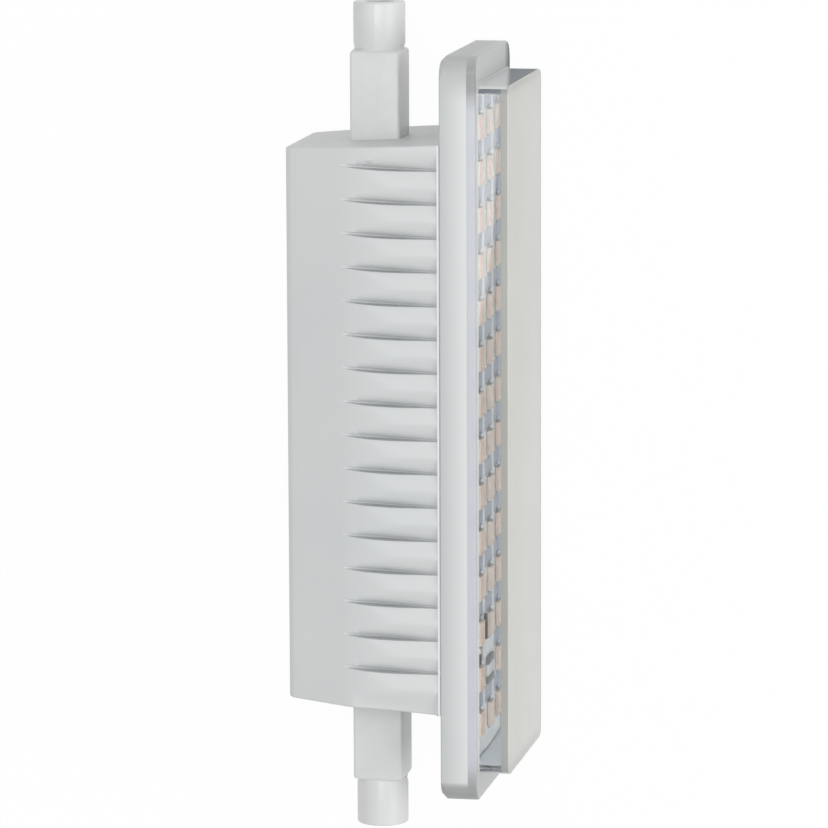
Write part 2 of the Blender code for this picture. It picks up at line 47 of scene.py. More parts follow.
# The part's solids in model.glb give the main sizes and the lamp's axis
CAP_LOW, CAP_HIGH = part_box("end_cap_upper")
AXIS_X = (CAP_LOW.x + CAP_HIGH.x) / 2
AXIS_Z = (CAP_LOW.z + CAP_HIGH.z) / 2
HOUSING_LOW, HOUSING_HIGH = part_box("housing")
COVER_LOW, COVER_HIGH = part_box("clear_cover")
BOARD_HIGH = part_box("led_board")[1]
LED_LOW, LED_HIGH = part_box("led_01")
FIT_GAP = 0.3 * MM
SMALL_EDGE = 0.15 * MM

# Housing, with x measured from the lamp's axis
FRONT_X = HOUSING_HIGH.x - AXIS_X
REAR_X = HOUSING_LOW.x - AXIS_X
HALF_WIDTH = (HOUSING_HIGH.z - HOUSING_LOW.z) / 2
HALF_LENGTH = HOUSING_HIGH.y
REAR_HALF_WIDTH = 9.7 * MM
HOUSING_WALL = 1.6 * MM
END_DRAFT = 1.1 * MM
EDGE_ROUND = 0.3 * MM
REAR_ROUND = 1.0 * MM
SOFT_JOIN = 0.10 * MM
# The front rim's width; the faces in front of it carry a painted highlight
FRONT_RIM = 0.05 * MM
FRONT_REACH = 0.24 * MM
CAVITY_REAR = HOUSING_LOW.x + HOUSING_WALL
POST_HEIGHT = 2.5 * MM
POST_DIAMETER = 3.2 * MM
POST_END_INSET = 4.0 * MM
POST_SIDE_INSET = 2.6 * MM

# Slats and the slots between them, which run out between the two blend depths
BLEND_REAR = -2.65 * MM
BLEND_FRONT = 6.0 * MM
RIB_COUNT = 16
RIB_PITCH = 4.72 * MM
RIB_ROW_RISE = 1.25 * MM
RIB_DEPTH = 1.2 * MM
RIB_CREST = 2.75 * MM
RIB_LIP = 0.72 * MM
RIB_SLOT = 0.46 * MM
RIB_START = 0.40 * MM
RIB_CURL = 0.45 * MM
RIB_CORNER = 0.04 * MM
RISE_SHARES = (0.2, 0.5, 0.8, 0.95)
FALL_SHARES = (0.06, 0.3, 0.6)
SLOT_EXTRA = 1.3 * MM
SLOT_RISE = 0.30 * MM
SLOT_SPREAD = 0.05 * MM
SLOT_MARGIN = 0.05 * MM
SLOT_LEAN = 0.8

# How finely outlines are sampled. A circle's corners are a hair smaller than its half size
CORNER_STEPS = 8
FULL_ROUND = 0.9999
ROUND_STEPS = 4
NOSE_STEPS = 5
FILLET_STEPS = 3
REAR_STEPS = 8
BLEND_STEPS = 22
RIM_STEP = 0.02 * MM
FRONT_STEP = 1.5 * MM
BLEND_MARGIN = 0.6 * MM
REAR_STEP = 2.5 * MM

# Degrees above which an edge stays sharp
SHARP_ANGLE = 35
HOUSING_SHARP = 40
TURNED_SHARP = 38
COVER_SHARP = 32

# End caps and contacts
NECK_HALF_X = 3.55 * MM
NECK_HALF_Z = 3.80 * MM
NECK_ROUND = 0.45 * MM
NECK_GAP = 0.04 * MM
NOSE_RADIUS = 3.65 * MM
NOSE_LENGTH = 6.7 * MM
SHOULDER = 0.45 * MM
COLLAR_MARGIN = 1.1 * MM
COLLAR_LENGTH = 2.6 * MM
RECESS_RADIUS = 2.1 * MM
STEM_RADIUS = 0.7 * MM
STEM_END = 0.1 * MM
STEM_TAPER = 0.8
BUTTON_RADIUS = 1.7 * MM
BUTTON_THICKNESS = 1.0 * MM
BUTTON_TIP = 0.05 * MM
# From the square neck to the round nose: place before the nose, insets and corner size
SHOULDER_STEPS = ((1.0, 0.0, 0.0, 1.0), (0.35, 0.2, 0.2, 1.6), (0.0, 0.5, 0.7, 3.5))
# The button's crown: distance below its face, share of its radius
BUTTON_CROWN = ((0.02 * MM, 0.4), (0.08 * MM, 0.75), (0.2 * MM, 0.96), (0.35 * MM, 1.0))

# Clear cover
COVER_HALF_Y = (COVER_HIGH.y - COVER_LOW.y) / 2
COVER_HALF_Z = (COVER_HIGH.z - COVER_LOW.z) / 2
COVER_WALL = 0.9 * MM
COVER_CORNER = 2.5 * MM
COVER_EDGE = 0.25 * MM
COVER_FILLET = 0.3 * MM
RIM_CUT = 0.7 * MM
FLANGE = 1.3 * MM
WINDOW_HEIGHT = 4.6 * MM
WINDOW_WALL = 1.2 * MM
WINDOW_CORNER = 1.4 * MM
LEDGE_END = 4.0 * MM
LEDGE_SIDE = 0.5 * MM
WINDOW_HALF_Y = COVER_HALF_Y - LEDGE_END
WINDOW_HALF_Z = COVER_HALF_Z - LEDGE_SIDE
FLANGE_FRONT = COVER_HIGH.x - WINDOW_HEIGHT
FLANGE_REAR = FLANGE_FRONT - FLANGE
# One finish for each row of faces: up the outside, across the front pane, down the inside. The wall
# row, the front wall's outer band, carries painted shade
COVER_ROWS = (["skirt"] * 3 + ["flange"] * 5 + ["ledge"] + ["cover"] * 3 + ["window", "wall"]
              + ["front"] * 5 + ["cover", "window"] + ["cover"] * 5)
COVER_FINISHES = ("cover", "window", "front", "skirt", "flange", "ledge", "edge", "wall",
                  "window_end", "inner_end")
FLANGE_EDGE_ROWS = (4, 5, 6, 7)
FRONT_ROW = 18
END_FACING = 0.7

# Light sources, with their solder
LED_FRAME = 0.12 * MM
LED_WELL = 0.06 * MM
LED_CORNER = 0.08 * MM
LED_WELL_SLOPE = 0.1 * MM
LED_CORNER_STEPS = 3
GEL_SHARE = 0.6
GEL_DEPTH_SHARE = 0.8
SOLDER_OVERLAP = 0.02 * MM
SOLDER_REACH = 0.32 * MM
SOLDER_HALF_WIDTH = 0.95 * MM
SOLDER_HEIGHT = 0.16 * MM
SOLDER_ROUND = 0.05 * MM

# Tracks, test points, connector, chips and a painted shadow bar on the light board
TRACK_HEIGHT = 0.05 * MM
TRACK_SUNK = 0.01 * MM
TRACK_HALF_WIDTH = 2.9 * MM
TRACK_LENGTH = 2.35 * MM
TRACK_GAP = 0.25 * MM
TRACK_ROUND = 0.02 * MM
BOARD_MARGIN = 0.6 * MM
DOT_RADIUS = 0.17 * MM
DOT_HEIGHT = 0.08 * MM
DOT_GAP = 0.55 * MM
DOT_PLACES = (-1.3 * MM, -0.2 * MM)
DISC_SEGMENTS = 16
DISC_TAPER = 0.85
CONNECTOR_HEIGHT = 0.45 * MM
CONNECTOR_END = 1.05 * MM
CONNECTOR_ROUND = 0.08 * MM
CONNECTOR_INSET = 0.15 * MM
CONNECTOR_STEP = 0.12 * MM
CONNECTOR_OVERLAP = 0.02 * MM
MIDDLE_ROUND = 0.05 * MM
# Low and high place along the lamp, middle and half width across, height, rounding, finish. The first
# two rows make a chip with a pale end, the last a dark bar beside a light source that paints its shadow
CHIPS_AND_SHADOW_BAR = ((-32.2, -31.4, 7.6, 0.5, 0.5, 0.06, 1),
         (-33.7, -32.2, 7.6, 0.45, 0.45, 0.06, 0),
         (-30.9, -27.2, 3.6, 0.2, 0.6, 0.05, 0))

# Rounded copies of the part's own solids
PLATE_EDGE = 0.12 * MM
PANEL_EDGE = 0.05 * MM
MERGE_DISTANCE = 0.001 * MM
FLAT_ANGLE = 1

# Camera, fitted to points read off the photo
PHOTO_WIDTH = 828
FOCAL_PIXELS = 5477.7
SENSOR = 36.0
CAMERA_OFFSET = Vector((149.83, 124.75, 750.78)) * MM
AIM_OFFSET = Vector((4.73, 0.36, 0.0)) * MM
CAMERA_ROLL = -0.00384
CLIP_START = 0.01

# Stage. Lights: name, place and diameter in metres, watts
LIGHTS = (("key", (0.08, 0.16, 0.95), 0.5, 3.1), ("fill", (0.75, -0.05, 0.45), 0.6, 2.2))
WORLD_STRENGTH = 0.62
WHITE_SHARE = 0.96
FLOOR_HALF_SIZE = 4.0
FLOOR_DROP = 0.1 * MM


def axis_point(x, y, z):
    """A point given from the lamp's axis."""
    return Vector((AXIS_X + x, y, AXIS_Z + z))


# Meshes and objects

def smooth(data, sharp):
    """Shade a mesh smooth except across its sharp edges."""
    data.shade_smooth()
    data.set_sharp_from_angle(angle=math.radians(sharp))


def dress(data, materials, sharp=SHARP_ANGLE):
    """Give a mesh its materials and its shading."""
    for material in materials:
        data.materials.append(material)
    smooth(data, sharp)


def add_object(name, data):
    """Put an object of some data into the scene."""
    thing = bpy.data.objects.new(name, data)
    bpy.context.scene.collection.objects.link(thing)
    return thing


def place_mesh(name, data, materials, sharp=SHARP_ANGLE):
    """Put a mesh into the scene with its materials and shading."""
    thing = add_object(name, data)
    dress(data, materials, sharp)
    return thing


def adopt(piece, slot, *nodes):
    """Make a piece ride on the lamp and stand for its nodes."""
    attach(piece, "root")
    if nodes:
        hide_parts(*nodes)


def mesh_of(name, build):
    """Run a function that fills a bmesh, and keep the result."""
    mesh = bmesh.new()
    build(mesh)
    data = bpy.data.meshes.new(name)
    mesh.to_mesh(data)
    mesh.free()
    return data


def add_walls(mesh, rings, open_row=None):
    """Join rings of equal count, also the last to the first, and give each face with its row.

    The open row has no wall, and each of its two rings is capped.
    """
    rows = [[mesh.verts.new(point) for point in ring] for ring in rings]
    count = len(rows[0])
    made = []
    for row, (first, second) in enumerate(zip(rows, rows[1:] + rows[:1])):
        if row == open_row:
            made += [(row, mesh.faces.new(first)), (row, mesh.faces.new(second))]
            continue
        for index in range(count):
            after = (index + 1) % count
            corners = (first[index], first[after], second[after], second[index])
            made.append((row, mesh.faces.new(corners)))
    bmesh.ops.recalc_face_normals(mesh, faces=mesh.faces)
    return made


def solid_loft(name, rings):
    """A mesh through rings that is capped at both ends."""
    return mesh_of(name, lambda mesh: add_walls(mesh, rings, len(rings) - 1))


def quarter_turn(steps):
    """Shares along and inwards of points on a rounded edge, from its side to its face."""
    shares = []
    for step in range(steps + 1):
        angle = math.pi / 2 * step / steps
        shares.append((1 - math.sin(angle), 1 - math.cos(angle)))
    return shares


def rounded_rectangle(half_first, half_second, radius, steps=CORNER_STEPS):
    """Points of a rectangle with round corners, about the middle."""
    points = []
    for quarter, (first, second) in enumerate(((1, 1), (-1, 1), (-1, -1), (1, -1))):
        for step in range(steps + 1):
            angle = math.pi / 2 * (quarter + step / steps)
            points.append((first * (half_first - radius) + radius * math.cos(angle),
                           second * (half_second - radius) + radius * math.sin(angle)))
    return points


def add_block(mesh, low, high, rounding, material=0, segments=2):
    """Add a block with rounded edges to a bmesh."""
    made = bmesh.ops.create_cube(mesh, size=1.0)
    low, high = Vector(low), Vector(high)
    bmesh.ops.scale(mesh, vec=high - low, verts=made["verts"])
    bmesh.ops.translate(mesh, vec=(low + high) / 2, verts=made["verts"])
    # Kept in the order they are met, so that each run gives the same mesh
    edges = dict.fromkeys(edge for vert in made["verts"] for edge in vert.link_edges)
    for vert in made["verts"]:
        for face in vert.link_faces:
            face.material_index = material
    rounded = bmesh.ops.bevel(mesh, geom=list(edges), offset=rounding, segments=segments,
                              affect="EDGES", profile=0.5)
    for face in rounded["faces"]:
        face.material_index = material


def add_disc(mesh, centre, radius, height, material=0):
    """Add a short tapered round to a bmesh, standing out along X."""
    turn = Matrix.Rotation(math.pi / 2, 4, "Y")
    made = bmesh.ops.create_cone(mesh, cap_ends=True, segments=DISC_SEGMENTS, radius1=radius,
                                 radius2=radius * DISC_TAPER, depth=height,
                                 matrix=Matrix.Translation(centre) @ turn)
    for vert in made["verts"]:
        for face in vert.link_faces:
            face.material_index = material


# Materials

def new_material(name, color, roughness, metallic=0.0):
    """A Principled material, with its tree and shader."""
    material = bpy.data.materials.new(name)
    material.use_nodes = True
    shader = material.node_tree.nodes["Principled BSDF"]
    shader.inputs["Base Color"].default_value = (*color, 1.0)
    shader.inputs["Roughness"].default_value = roughness
    shader.inputs["Metallic"].default_value = metallic
    return material, material.node_tree, shader


def noise(tree, scale, detail=3.0, stretch=(1, 1, 1)):
    """A noise texture on the object's own coordinates."""
    place = tree.nodes.new("ShaderNodeTexCoord")
    mapping = tree.nodes.new("ShaderNodeMapping")
    mapping.inputs["Scale"].default_value = stretch
    texture = tree.nodes.new("ShaderNodeTexNoise")
    texture.inputs["Scale"].default_value = scale
    texture.inputs["Detail"].default_value = detail
    tree.links.new(place.outputs["Object"], mapping.inputs["Vector"])
    tree.links.new(mapping.outputs["Vector"], texture.inputs["Vector"])
    return texture.outputs["Fac"]


def vary_color(tree, shader, value, dark, light):
    """Let a texture move the base colour between two tones."""
    ramp = tree.nodes.new("ShaderNodeValToRGB")
    for element, place, tone in zip(ramp.color_ramp.elements, (0.3, 0.7), (dark, light)):
        element.position = place
        element.color = (*tone, 1.0)
    tree.links.new(value, ramp.inputs["Fac"])
    tree.links.new(ramp.outputs["Color"], shader.inputs["Base Color"])


def vary_roughness(tree, shader, value, low, high):
    """Let a texture move the roughness between two values."""
    reach = tree.nodes.new("ShaderNodeMapRange")
    reach.inputs["To Min"].default_value = low
    reach.inputs["To Max"].default_value = high
    tree.links.new(value, reach.inputs["Value"])
    tree.links.new(reach.outputs["Result"], shader.inputs["Roughness"])


def add_bump(tree, shader, value, distance, strength):
    """Let a texture raise the surface a little."""
    bump = tree.nodes.new("ShaderNodeBump")
    bump.inputs["Strength"].default_value = strength
    bump.inputs["Distance"].default_value = distance
    tree.links.new(value, bump.inputs["Height"])
    tree.links.new(bump.outputs["Normal"], shader.inputs["Normal"])


def moulded_plastic(name, dark, light, roughness, uneven=0.06):
    """Moulded plastic: faint clouding, a fine spark-eroded grain and uneven gloss."""
    material, tree, shader = new_material(name, light, roughness)
    vary_color(tree, shader, noise(tree, scale=45, detail=4.0), dark, light)
    vary_roughness(tree, shader, noise(tree, scale=160), roughness - uneven, roughness + uneven)
    add_bump(tree, shader, noise(tree, scale=3500, detail=2.0), distance=0.02 * MM, strength=0.35)
    return material


def ceramic(name, dark, light):
    """Glazed steatite: a cloudy white with fine pits."""
    material, tree, shader = new_material(name, light, roughness=0.42)
    vary_color(tree, shader, noise(tree, scale=220, detail=5.0), dark, light)
    add_bump(tree, shader, noise(tree, scale=1800, detail=4.0), distance=0.03 * MM, strength=0.4)
    shader.inputs["Coat Weight"].default_value = 0.15
    return material


def bright_metal(name, color, roughness):
    """Turned and plated metal with fine turning marks."""
    material, tree, shader = new_material(name, color, roughness, metallic=1.0)
    marks = noise(tree, scale=2500, detail=2.0, stretch=(1, 12, 1))
    add_bump(tree, shader, marks, distance=0.01 * MM, strength=0.4)
    return material


def let_shadows_through(tree, shader, tint):
    """Let light pass a see-through material on its way to what lies behind."""
    path = tree.nodes.new("ShaderNodeLightPath")
    clear = tree.nodes.new("ShaderNodeBsdfTransparent")
    clear.inputs["Color"].default_value = (*tint, 1.0)
    mix = tree.nodes.new("ShaderNodeMixShader")
    tree.links.new(path.outputs["Is Shadow Ray"], mix.inputs["Fac"])
    tree.links.new(shader.outputs["BSDF"], mix.inputs[1])
    tree.links.new(clear.outputs["BSDF"], mix.inputs[2])
    tree.links.new(mix.outputs["Shader"], tree.nodes["Material Output"].inputs["Surface"])


def clear_plastic(name, roughness):
    """Clear polycarbonate that lets light through to what it covers."""
    material, tree, shader = new_material(name, (0.96, 0.965, 0.97), roughness)
    shader.inputs["Transmission Weight"].default_value = 1.0
    shader.inputs["IOR"].default_value = 1.5
    add_bump(tree, shader, noise(tree, scale=90, detail=2.0), distance=0.01 * MM, strength=0.2)
    let_shadows_through(tree, shader, (0.95, 0.96, 0.96))
    return material


def milky_base(name, tone, roughness, clearness):
    """Polycarbonate that scatters most of the light it lets through, in one tone."""
    material, tree, shader = new_material(name, tone, roughness)
    shader.inputs["Transmission Weight"].default_value = clearness
    shader.inputs["IOR"].default_value = 1.45
    add_bump(tree, shader, noise(tree, scale=400, detail=2.0), distance=0.01 * MM, strength=0.2)
    let_shadows_through(tree, shader, (0.88, 0.89, 0.89))
    return material, tree, shader


def milky_plastic(name, dark, light, roughness, clearness):
    """Milky plastic with faint clouding."""
    material, tree, shader = milky_base(name, light, roughness, clearness)
    vary_color(tree, shader, noise(tree, scale=60), dark, light)
    return material


def spread_out(tree, value, low, high):
    """Map a value's range from low to high onto 0 to 1."""
    reach = tree.nodes.new("ShaderNodeMapRange")
    reach.inputs["From Min"].default_value = low
    reach.inputs["From Max"].default_value = high
    tree.links.new(value, reach.inputs["Value"])
    return reach.outputs["Result"]


def mix_tones(tree, share, first, second):
    """Mix two tones, each a colour or another node's output."""
    mix = tree.nodes.new("ShaderNodeMix")
    mix.data_type = "RGBA"
    tree.links.new(share, mix.inputs["Factor"])
    for tone, socket in ((first, mix.inputs[6]), (second, mix.inputs[7])):
        if isinstance(tone, tuple):
            socket.default_value = (*tone, 1.0)
        else:
            tree.links.new(tone, socket)
    return mix.outputs[2]


def end_shade_stops(lower, upper, end):
    """Stops of a ramp of painted shade along the cover, as (share of its length, tone, how much it
    covers).

    The lower and the upper tone each come with how far they reach and the length of their fade.
    The end tone is painted shade on the upper end face.
    """
    length = COVER_HIGH.y - COVER_LOW.y
    lower_tone, lower_reach, lower_fade = lower
    upper_tone, upper_reach, upper_fade = upper
    stops = [(lower_reach, lower_tone, 1.0), (lower_reach + lower_fade, lower_tone, 0.0),
             (length - upper_reach - upper_fade, upper_tone, 0.0),
             (length - upper_reach, upper_tone, 1.0), (length - COVER_CORNER, upper_tone, 1.0),
             (length, end, 1.0)]
    return [(reach / length, tone, weight) for reach, tone, weight in stops]


def painted_end_shade_plastic(name, rear, front, stops, roughness, clearness):
    """Milky plastic whose tone changes out of the cover, with painted shade towards the lamp's two ends
    and on the upper end face.
    """
    material, tree, shader = milky_base(name, front, roughness, clearness)
    place = tree.nodes.new("ShaderNodeTexCoord")
    parts = tree.nodes.new("ShaderNodeSeparateXYZ")
    tree.links.new(place.outputs["Object"], parts.inputs["Vector"])
    outward = spread_out(tree, parts.outputs["X"], COVER_LOW.x, FLANGE_REAR)
    upward = spread_out(tree, parts.outputs["Y"], COVER_LOW.y, COVER_HIGH.y)
    ramp = tree.nodes.new("ShaderNodeValToRGB")
    while len(ramp.color_ramp.elements) < len(stops):
        ramp.color_ramp.elements.new(0.5)
    for element, (share, tone, weight) in zip(ramp.color_ramp.elements, stops):
        element.position = share
        element.color = (*tone, weight)
    tree.links.new(upward, ramp.inputs["Fac"])
    body = mix_tones(tree, outward, rear, front)
    whole = mix_tones(tree, ramp.outputs["Alpha"], body, ramp.outputs["Color"])
    tree.links.new(whole, shader.inputs["Base Color"])
    return material


def painted_shade_plastic(name, light, dark, direction, reach):
    """Plastic with painted shade that darkens it along a direction, from the edge where the flange
    meets the near side.

    The reach says where the dark tone starts and where it is full.
    """
    material, tree, shader = new_material(name, light, roughness=0.6)
    shader.inputs["Specular IOR Level"].default_value = 0.1
    place = tree.nodes.new("ShaderNodeTexCoord")
    shift = tree.nodes.new("ShaderNodeVectorMath")
    shift.operation = "SUBTRACT"
    shift.inputs[1].default_value = (FLANGE_FRONT, 0.0, COVER_HIGH.z)
    slope = tree.nodes.new("ShaderNodeVectorMath")
    slope.operation = "DOT_PRODUCT"
    slope.inputs[1].default_value = direction
    tree.links.new(place.outputs["Object"], shift.inputs[0])
    tree.links.new(shift.outputs["Vector"], slope.inputs[0])
    share = spread_out(tree, slope.outputs["Value"], *reach)
    tree.links.new(mix_tones(tree, share, light, dark), shader.inputs["Base Color"])
    add_bump(tree, shader, noise(tree, scale=300, detail=2.0), distance=0.01 * MM, strength=0.2)
    return material


def cover_looks():
    """The finishes of the clear cover's faces by name, several with painted shade and one with painted
    light.
    """
    across = -1 / (COVER_HIGH.z - COVER_LOW.z)
    # The skirt and flange darken towards both ends and on the upper end face: painted shade
    lower_end_shade, end_face_shade = (0.39, 0.40, 0.40), (0.53, 0.54, 0.54)
    skirt_stops = end_shade_stops((lower_end_shade, 2.3 * MM, 0.5 * MM),
                            ((0.52, 0.535, 0.535), 2.6 * MM, 3.5 * MM), end_face_shade)
    flange_stops = end_shade_stops((lower_end_shade, 2.3 * MM, 3.0 * MM),
                             ((0.33, 0.34, 0.34), 4.5 * MM, 3.0 * MM), end_face_shade)
    return {
        "window": clear_plastic("clear_cover_window", roughness=0.06),
        "front": milky_plastic("satin_cover_front", (0.77, 0.775, 0.735), (0.80, 0.805, 0.765),
                               roughness=0.42, clearness=0.48),
        "cover": milky_plastic("milky_cover", (0.62, 0.635, 0.635), (0.66, 0.67, 0.67),
                               roughness=0.38, clearness=0.30),
        "skirt": painted_end_shade_plastic("painted_shade_cover_skirt", (0.53, 0.545, 0.55), (0.74, 0.755, 0.755),
                                skirt_stops, roughness=0.42, clearness=0.15),
        "flange": painted_end_shade_plastic("painted_shade_cover_flange", (0.55, 0.57, 0.61), (0.57, 0.59, 0.63),
                                 flange_stops, roughness=0.34, clearness=0.20),
        # The far flange edge beside the window is near black: a painted shadow
        "edge": milky_plastic("painted_shadow_cover_edge", (0.14, 0.15, 0.16), (0.18, 0.19, 0.20),
                              roughness=0.55, clearness=0.0),
        # The outer band of the front wall is grey: painted shade
        "wall": milky_plastic("painted_shade_cover_wall", (0.36, 0.36, 0.345), (0.40, 0.40, 0.385),
                              roughness=0.35, clearness=0.15),
        # The upper window end darkens towards its front and far side: painted shade
        "window_end": painted_shade_plastic("painted_shade_window_end", (0.66, 0.675, 0.675), (0.25, 0.28, 0.30),
                                     (1 / WINDOW_HEIGHT, 0.0, across), (0.92, 1.04)),
        # The ledge darkens towards the far side: painted shade
        "ledge": painted_shade_plastic("painted_shade_cover_ledge", (0.54, 0.55, 0.55), (0.14, 0.15, 0.16),
                                (0.0, 0.0, across), (0.84, 0.98)),
        # The inner end walls are near white and bluish: painted light against the shade inside the
        # cover
        "inner_end": milky_plastic("painted_light_inner_end", (0.84, 0.90, 0.97), (0.88, 0.94, 0.99),
                                   roughness=0.45, clearness=0.0),
    }


def moulded_looks():
    """The finishes that are moulded, painted or printed, by name."""
    tones = {
        "housing": ("moulded_housing", (0.59, 0.61, 0.61), (0.62, 0.635, 0.635), 0.44),
        # The rim is a lighter strip along the housing's front edge: a painted highlight
        "rim": ("painted_highlight_housing_rim", (0.70, 0.72, 0.72), (0.74, 0.76, 0.76), 0.36),
        "plate": ("painted_plate", (0.66, 0.68, 0.68), (0.69, 0.71, 0.71), 0.40),
        "mask": ("white_solder_mask", (0.84, 0.87, 0.91), (0.88, 0.91, 0.94), 0.35),
        "track": ("masked_tracks", (0.35, 0.41, 0.51), (0.41, 0.47, 0.57), 0.30),
        "led_frame": ("led_frame", (0.66, 0.56, 0.50), (0.72, 0.63, 0.56), 0.35),
        "phosphor": ("led_phosphor_gel", (0.88, 0.61, 0.49), (0.92, 0.70, 0.58), 0.25),
        "dark": ("dark_resin", (0.05, 0.055, 0.06), (0.08, 0.085, 0.09), 0.40),
        "slate": ("slate_resin", (0.22, 0.23, 0.24), (0.26, 0.27, 0.28), 0.40),
        "grey": ("grey_resin", (0.78, 0.80, 0.81), (0.82, 0.84, 0.85), 0.40),
        "laminate": ("driver_laminate_green", (0.06, 0.20, 0.10), (0.09, 0.27, 0.14), 0.40),
        "sleeve": ("red_wire_sleeve", (0.55, 0.06, 0.04), (0.65, 0.09, 0.06), 0.40),
        "can": ("capacitor_film", (0.02, 0.03, 0.06), (0.04, 0.05, 0.09), 0.30),
        "ferrite": ("pressed_ferrite", (0.05, 0.05, 0.05), (0.08, 0.08, 0.08), 0.60),
    }
    return {look: moulded_plastic(*values) for look, values in tones.items()}


def make_materials():
    """Every finish of the lamp by name."""
    looks = moulded_looks() | cover_looks()
    looks["cap"] = ceramic("glazed_cap", (0.63, 0.65, 0.64), (0.68, 0.70, 0.69))
    looks["contact"] = bright_metal("plated_contact", (0.66, 0.65, 0.62), roughness=0.30)
    looks["solder"] = bright_metal("solder", (0.40, 0.41, 0.44), roughness=0.45)
    return looks


# Housing

def side_height(x):
    """How far the housing's side stands from the axis at a depth x."""
    if x >= BLEND_FRONT:
        return HALF_WIDTH
    if x >= BLEND_REAR:
        run = BLEND_FRONT - BLEND_REAR
        radius = (run * run + RIB_DEPTH * RIB_DEPTH) / (2 * RIB_DEPTH)
        return HALF_WIDTH - radius + math.sqrt(radius * radius - (BLEND_FRONT - x) ** 2)
    share = (BLEND_REAR - x) / (BLEND_REAR - REAR_X)
    floor = HALF_WIDTH - RIB_DEPTH
    return floor + (REAR_HALF_WIDTH - floor) * share


def slat_points():
    """One pitch of the slats, as (distance below the slot's upper edge, depth below the crests)."""
    points = [(-RIB_CORNER, RIB_LIP), (0.0, RIB_LIP + RIB_CORNER),
              (RIB_CORNER / 2, RIB_DEPTH - RIB_CORNER), (RIB_CORNER * 1.5, RIB_DEPTH),
              (RIB_SLOT - RIB_CORNER * 1.5, RIB_DEPTH),
              (RIB_SLOT - RIB_CORNER / 2, RIB_DEPTH - RIB_CORNER),
              (RIB_SLOT, RIB_START + RIB_CORNER)]
    for share in RISE_SHARES:
        points.append((RIB_SLOT + (RIB_CREST - RIB_SLOT) * share, RIB_START * (1 - share)))
    for share in FALL_SHARES:
        points.append((RIB_CREST + (RIB_PITCH - RIB_CREST) * share, RIB_LIP * share))
    return points


def rib_stations():
    """Places along the lamp from the upper end down, with the depth, curl and spread at each."""
    top = RIB_PITCH * (RIB_COUNT - 1) / 2 + RIB_SLOT / 2 + RIB_ROW_RISE
    last = HALF_LENGTH - EDGE_ROUND - END_DRAFT
    stations = [(last, 0.0, 0.0, 0.0), ((last + top) / 2, RIB_LIP / 2, 0.5, 0.0)]
    for tooth in range(RIB_COUNT):
        for below, depth in slat_points():
            above_middle = RIB_SLOT / 2 - below
            in_slot = abs(above_middle) <= RIB_SLOT / 2 + SLOT_MARGIN
            spread = math.copysign(1.0, above_middle) if in_slot else 0.0
            stations.append((top - tooth * RIB_PITCH - below, depth, 1.0, spread))
    stations.append((-last, RIB_LIP, 0.0, 0.0))
    return stations


def soft_minimum(first, second):
    """The smaller of two heights with a soft join."""
    blend = max(SOFT_JOIN - abs(first - second), 0.0) / SOFT_JOIN
    return min(first, second) - blend * blend * SOFT_JOIN / 4


def slot_curl(x):
    """How far the slots bend towards the upper end at a depth x."""
    share = min(max((BLEND_FRONT - x) / (BLEND_FRONT - BLEND_REAR), 0.0), 1.0)
    return RIB_CURL * share * share


def slot_share(x):
    """How far along a slot a depth x lies, from 0 at its tip to 1 in front."""
    return min(max((x - BLEND_REAR) / (FRONT_X - BLEND_REAR), 0.0), 1.0)


def slot_swell(share):
    """A swell along a slot, 0 at both its ends and 1 a little nearer to its tip."""
    return math.sin(math.pi * share ** SLOT_LEAN)


def slot_spread(x):
    """How far a slot's two edges stand out from their mean place: wide halfway, narrow in front."""
    share = slot_share(x)
    return SLOT_SPREAD * (slot_swell(share) - share)


def slot_depth(x, depth):
    """The depth below the slats' crests, with the slots deepest halfway between tip and front."""
    share = slot_share(x)
    slot = min(max((depth - RIB_START) / (RIB_DEPTH - RIB_START), 0.0), 1.0)
    return depth + slot * (SLOT_EXTRA * slot_swell(share) - SLOT_RISE * share * share)


def housing_side(depth):
    """One side of the housing's outline from front to rear, as (depth, height) from the axis."""
    rim = FRONT_X - FRONT_RIM
    side = [(FRONT_X + FRONT_REACH, HALF_WIDTH), (rim + RIM_STEP, HALF_WIDTH)]
    samples = [rim, FRONT_X - FRONT_STEP, FRONT_X - 2 * FRONT_STEP, BLEND_FRONT + FRONT_STEP]
    blend = BLEND_REAR - BLEND_MARGIN - BLEND_FRONT
    for step in range(BLEND_STEPS + 1):
        samples.append(BLEND_FRONT + blend * step / BLEND_STEPS)
    samples += [BLEND_REAR - REAR_STEP, (BLEND_REAR + REAR_X) / 2, REAR_X + REAR_STEP,
                REAR_X + REAR_ROUND]
    for x in samples:
        side.append((x, soft_minimum(side_height(x), HALF_WIDTH - slot_depth(x, depth))))
    for along, inward in quarter_turn(REAR_STEPS)[1:]:
        x = REAR_X + REAR_ROUND * along
        side.append((x, side_height(x) - REAR_ROUND * inward))
    return side


def housing_ring(y, depth, inset=0.0, draft=0.0, curl=0.0, spread=0.0):
    """The housing's outline at one place along the lamp."""
    side = housing_side(depth)
    middle = (FRONT_X + REAR_X) / 2
    half = (FRONT_X - REAR_X) / 2
    ring = []
    for x, z in side + [(x, -z) for x, z in reversed(side)]:
        along = y - math.copysign(END_DRAFT * draft * (FRONT_X - x) / (FRONT_X - REAR_X), y)
        along += curl * slot_curl(x) + spread * slot_spread(x)
        if x < FRONT_X:
            x = middle + (x - middle) * (1 - inset / half)
        ring.append(axis_point(x, along, z * (1 - inset / HALF_WIDTH)))
    return ring


def end_rings(side, depth):
    """The housing's rounded and drafted outlines at one end, the last one at its face."""
    rings = []
    for along, inward in quarter_turn(ROUND_STEPS):
        y = side * (HALF_LENGTH - EDGE_ROUND * along)
        rings.append(housing_ring(y, depth, inset=EDGE_ROUND * inward, draft=1.0))
    return rings


